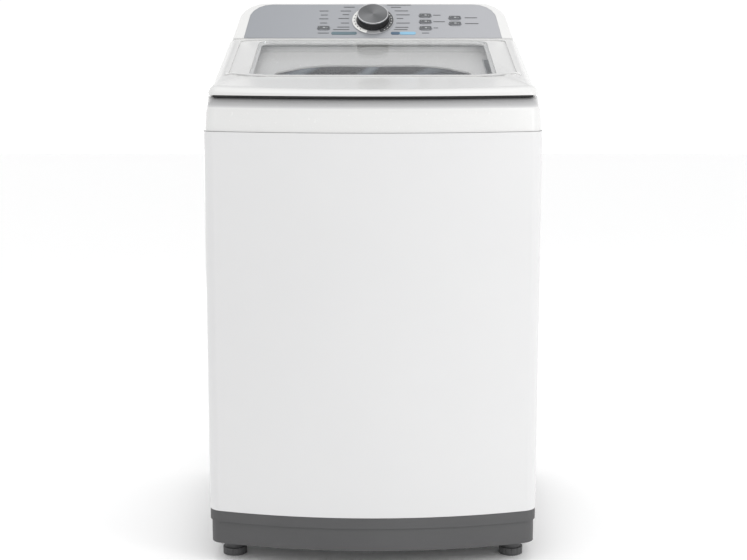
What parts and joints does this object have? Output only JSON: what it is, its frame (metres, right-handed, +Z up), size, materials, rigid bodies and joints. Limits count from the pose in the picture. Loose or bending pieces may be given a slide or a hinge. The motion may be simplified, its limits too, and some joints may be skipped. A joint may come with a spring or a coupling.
{
  "type": "top load washing machine",
  "caption": "Upright washing machine with a bowed front, a sloping hinged lid with a glass pane, and a raised rear console with a knob and buttons.",
  "frame": {"origin": "on the floor under the middle of the machine's overall width and depth", "axes": "+X to the right seen from the front, -Y towards the front, +Z up"},
  "size_m": [0.57, 0.6, 0.966],
  "materials": {
    "white_paint": "satin white enamel",
    "white_plastic": "glossy white moulding",
    "grey_plastic": "matt dark grey moulding",
    "silver_plastic": "silver lacquer",
    "black_plastic": "black moulding",
    "dark_gloss": "glossy blue-grey moulding",
    "cap_metal": "brushed dark cap",
    "tinted_glass": "clear toughened pane",
    "steel": "brushed steel",
    "zinc_sheet": "zinc coated sheet",
    "rubber": "black rubber",
    "light_plastic": "light grey moulding",
    "board": "circuit board",
    "cast_alloy": "as-cast alloy"
  },
  "bodies": {
    "machine": {"cabinet": "white_paint", "rear_panel": "zinc_sheet", "base_plinth": "grey_plastic", "top_cover": "white_plastic", "drum_collar": "dark_gloss", "lid_switch": "black_plastic", "console_housing": "white_plastic", "console_fascia": "silver_plastic", "dial_ring": "black_plastic", "control_board": "board", "programme_encoder": "zinc_sheet", "corner_bracket_front_left": "zinc_sheet", "corner_bracket_front_right": "zinc_sheet", "corner_bracket_rear_left": "zinc_sheet", "corner_bracket_rear_right": "zinc_sheet", "suspension_rod_front_left": "steel", "suspension_rod_front_right": "steel", "suspension_rod_rear_left": "steel", "suspension_rod_rear_right": "steel", "suspension_spring_front_left": "steel", "suspension_spring_front_right": "steel", "suspension_spring_rear_left": "steel", "suspension_spring_rear_right": "steel", "drain_port": "black_plastic", "inlet_valve": "light_plastic", "detergent_tray": "light_plastic", "cord_gland": "black_plastic"},
    "levelling_foot_front_left": {"foot_front_left": "grey_plastic"},
    "levelling_foot_front_right": {"foot_front_right": "grey_plastic"},
    "levelling_foot_rear_left": {"foot_rear_left": "grey_plastic"},
    "levelling_foot_rear_right": {"foot_rear_right": "grey_plastic"},
    "lid": {"lid_frame": "white_plastic", "lid_window": "tinted_glass", "lid_hinge_pin_left": "steel", "lid_hinge_pin_right": "steel", "lid_bumper_left": "rubber", "lid_bumper_right": "rubber"},
    "knob": {"programme_knob": "black_plastic", "knob_cap": "cap_metal"},
    "water_button": {"button_water": "silver_plastic"},
    "rinse_button": {"button_rinse": "silver_plastic"},
    "soak_button": {"button_soak": "silver_plastic"},
    "spin_button": {"button_spin": "silver_plastic"},
    "power_button": {"button_power": "silver_plastic"},
    "start_button": {"button_start": "silver_plastic"},
    "tub": {"outer_tub": "light_plastic", "tub_cover": "dark_gloss", "gear_clutch": "cast_alloy", "drive_motor": "zinc_sheet", "drive_belt": "rubber", "drain_pump": "grey_plastic"},
    "basket": {"wash_basket": "steel", "balance_ring": "light_plastic", "basket_hub": "cast_alloy", "lint_filter": "light_plastic"},
    "agitator": {"pulsator": "light_plastic", "wash_shaft": "steel", "clutch_pulley": "cast_alloy"},
    "motor_rotor": {"motor_pulley": "cast_alloy"}
  },
  "joints": [
    {"name": "lid_hinge", "type": "hinge", "parent": "machine", "child": "lid", "pos_m": [0, 0.1905, 0.8925], "axis": [-1, 0, 0], "range_deg": [0, 106]},
    {"name": "knob_turn", "type": "hinge", "parent": "machine", "child": "knob", "pos_m": [0, 0.24351, 0.93261], "axis": [0, -0.6361, 0.7716], "continuous": true},
    {"name": "water_button_press", "type": "slide", "parent": "machine", "child": "water_button", "axis": [0, 0.6361, -0.7716], "range_m": [0, 0.0015], "stiffness_N_per_m": 600, "springref_m": -0.0005},
    {"name": "rinse_button_press", "type": "slide", "parent": "machine", "child": "rinse_button", "axis": [0, 0.6361, -0.7716], "range_m": [0, 0.0015], "stiffness_N_per_m": 600, "springref_m": -0.0005},
    {"name": "soak_button_press", "type": "slide", "parent": "machine", "child": "soak_button", "axis": [0, 0.6361, -0.7716], "range_m": [0, 0.0015], "stiffness_N_per_m": 600, "springref_m": -0.0005},
    {"name": "spin_button_press", "type": "slide", "parent": "machine", "child": "spin_button", "axis": [0, 0.6361, -0.7716], "range_m": [0, 0.0015], "stiffness_N_per_m": 600, "springref_m": -0.0005},
    {"name": "power_button_press", "type": "slide", "parent": "machine", "child": "power_button", "axis": [0, 0.6361, -0.7716], "range_m": [0, 0.0015], "stiffness_N_per_m": 600, "springref_m": -0.0005},
    {"name": "start_button_press", "type": "slide", "parent": "machine", "child": "start_button", "axis": [0, 0.6361, -0.7716], "range_m": [0, 0.0015], "stiffness_N_per_m": 600, "springref_m": -0.0005},
    {"name": "tub_float", "type": "slide", "parent": "machine", "child": "tub", "axis": [0, 0, -1], "range_m": [0, 0.02], "stiffness_N_per_m": 6000, "springref_m": -0.055, "deforming": ["suspension_spring_front_left", "suspension_spring_front_right", "suspension_spring_rear_left", "suspension_spring_rear_right"]},
    {"name": "basket_spin", "type": "hinge", "parent": "tub", "child": "basket", "pos_m": [0, 0, 0.3], "axis": [0, 0, 1], "continuous": true},
    {"name": "pulsator_spin", "type": "hinge", "parent": "tub", "child": "agitator", "pos_m": [0, 0, 0.3], "axis": [0, 0, 1], "continuous": true},
    {"name": "motor_spin", "type": "hinge", "parent": "tub", "child": "motor_rotor", "pos_m": [0, 0.15, 0.12], "axis": [0, 0, 1], "continuous": true},
    {"name": "foot_turn_front_left", "type": "hinge", "parent": "machine", "child": "levelling_foot_front_left", "pos_m": [-0.245, -0.209, 0.03], "axis": [0, 0, 1], "continuous": true},
    {"name": "foot_turn_front_right", "type": "hinge", "parent": "machine", "child": "levelling_foot_front_right", "pos_m": [0.245, -0.209, 0.03], "axis": [0, 0, 1], "continuous": true},
    {"name": "foot_turn_rear_left", "type": "hinge", "parent": "machine", "child": "levelling_foot_rear_left", "pos_m": [-0.245, 0.23, 0.03], "axis": [0, 0, 1], "continuous": true},
    {"name": "foot_turn_rear_right", "type": "hinge", "parent": "machine", "child": "levelling_foot_rear_right", "pos_m": [0.245, 0.23, 0.03], "axis": [0, 0, 1], "continuous": true}
  ],
  "couplings": [
    {"joint": "motor_spin", "follows": "pulsator_spin", "ratio": 3}
  ]
}
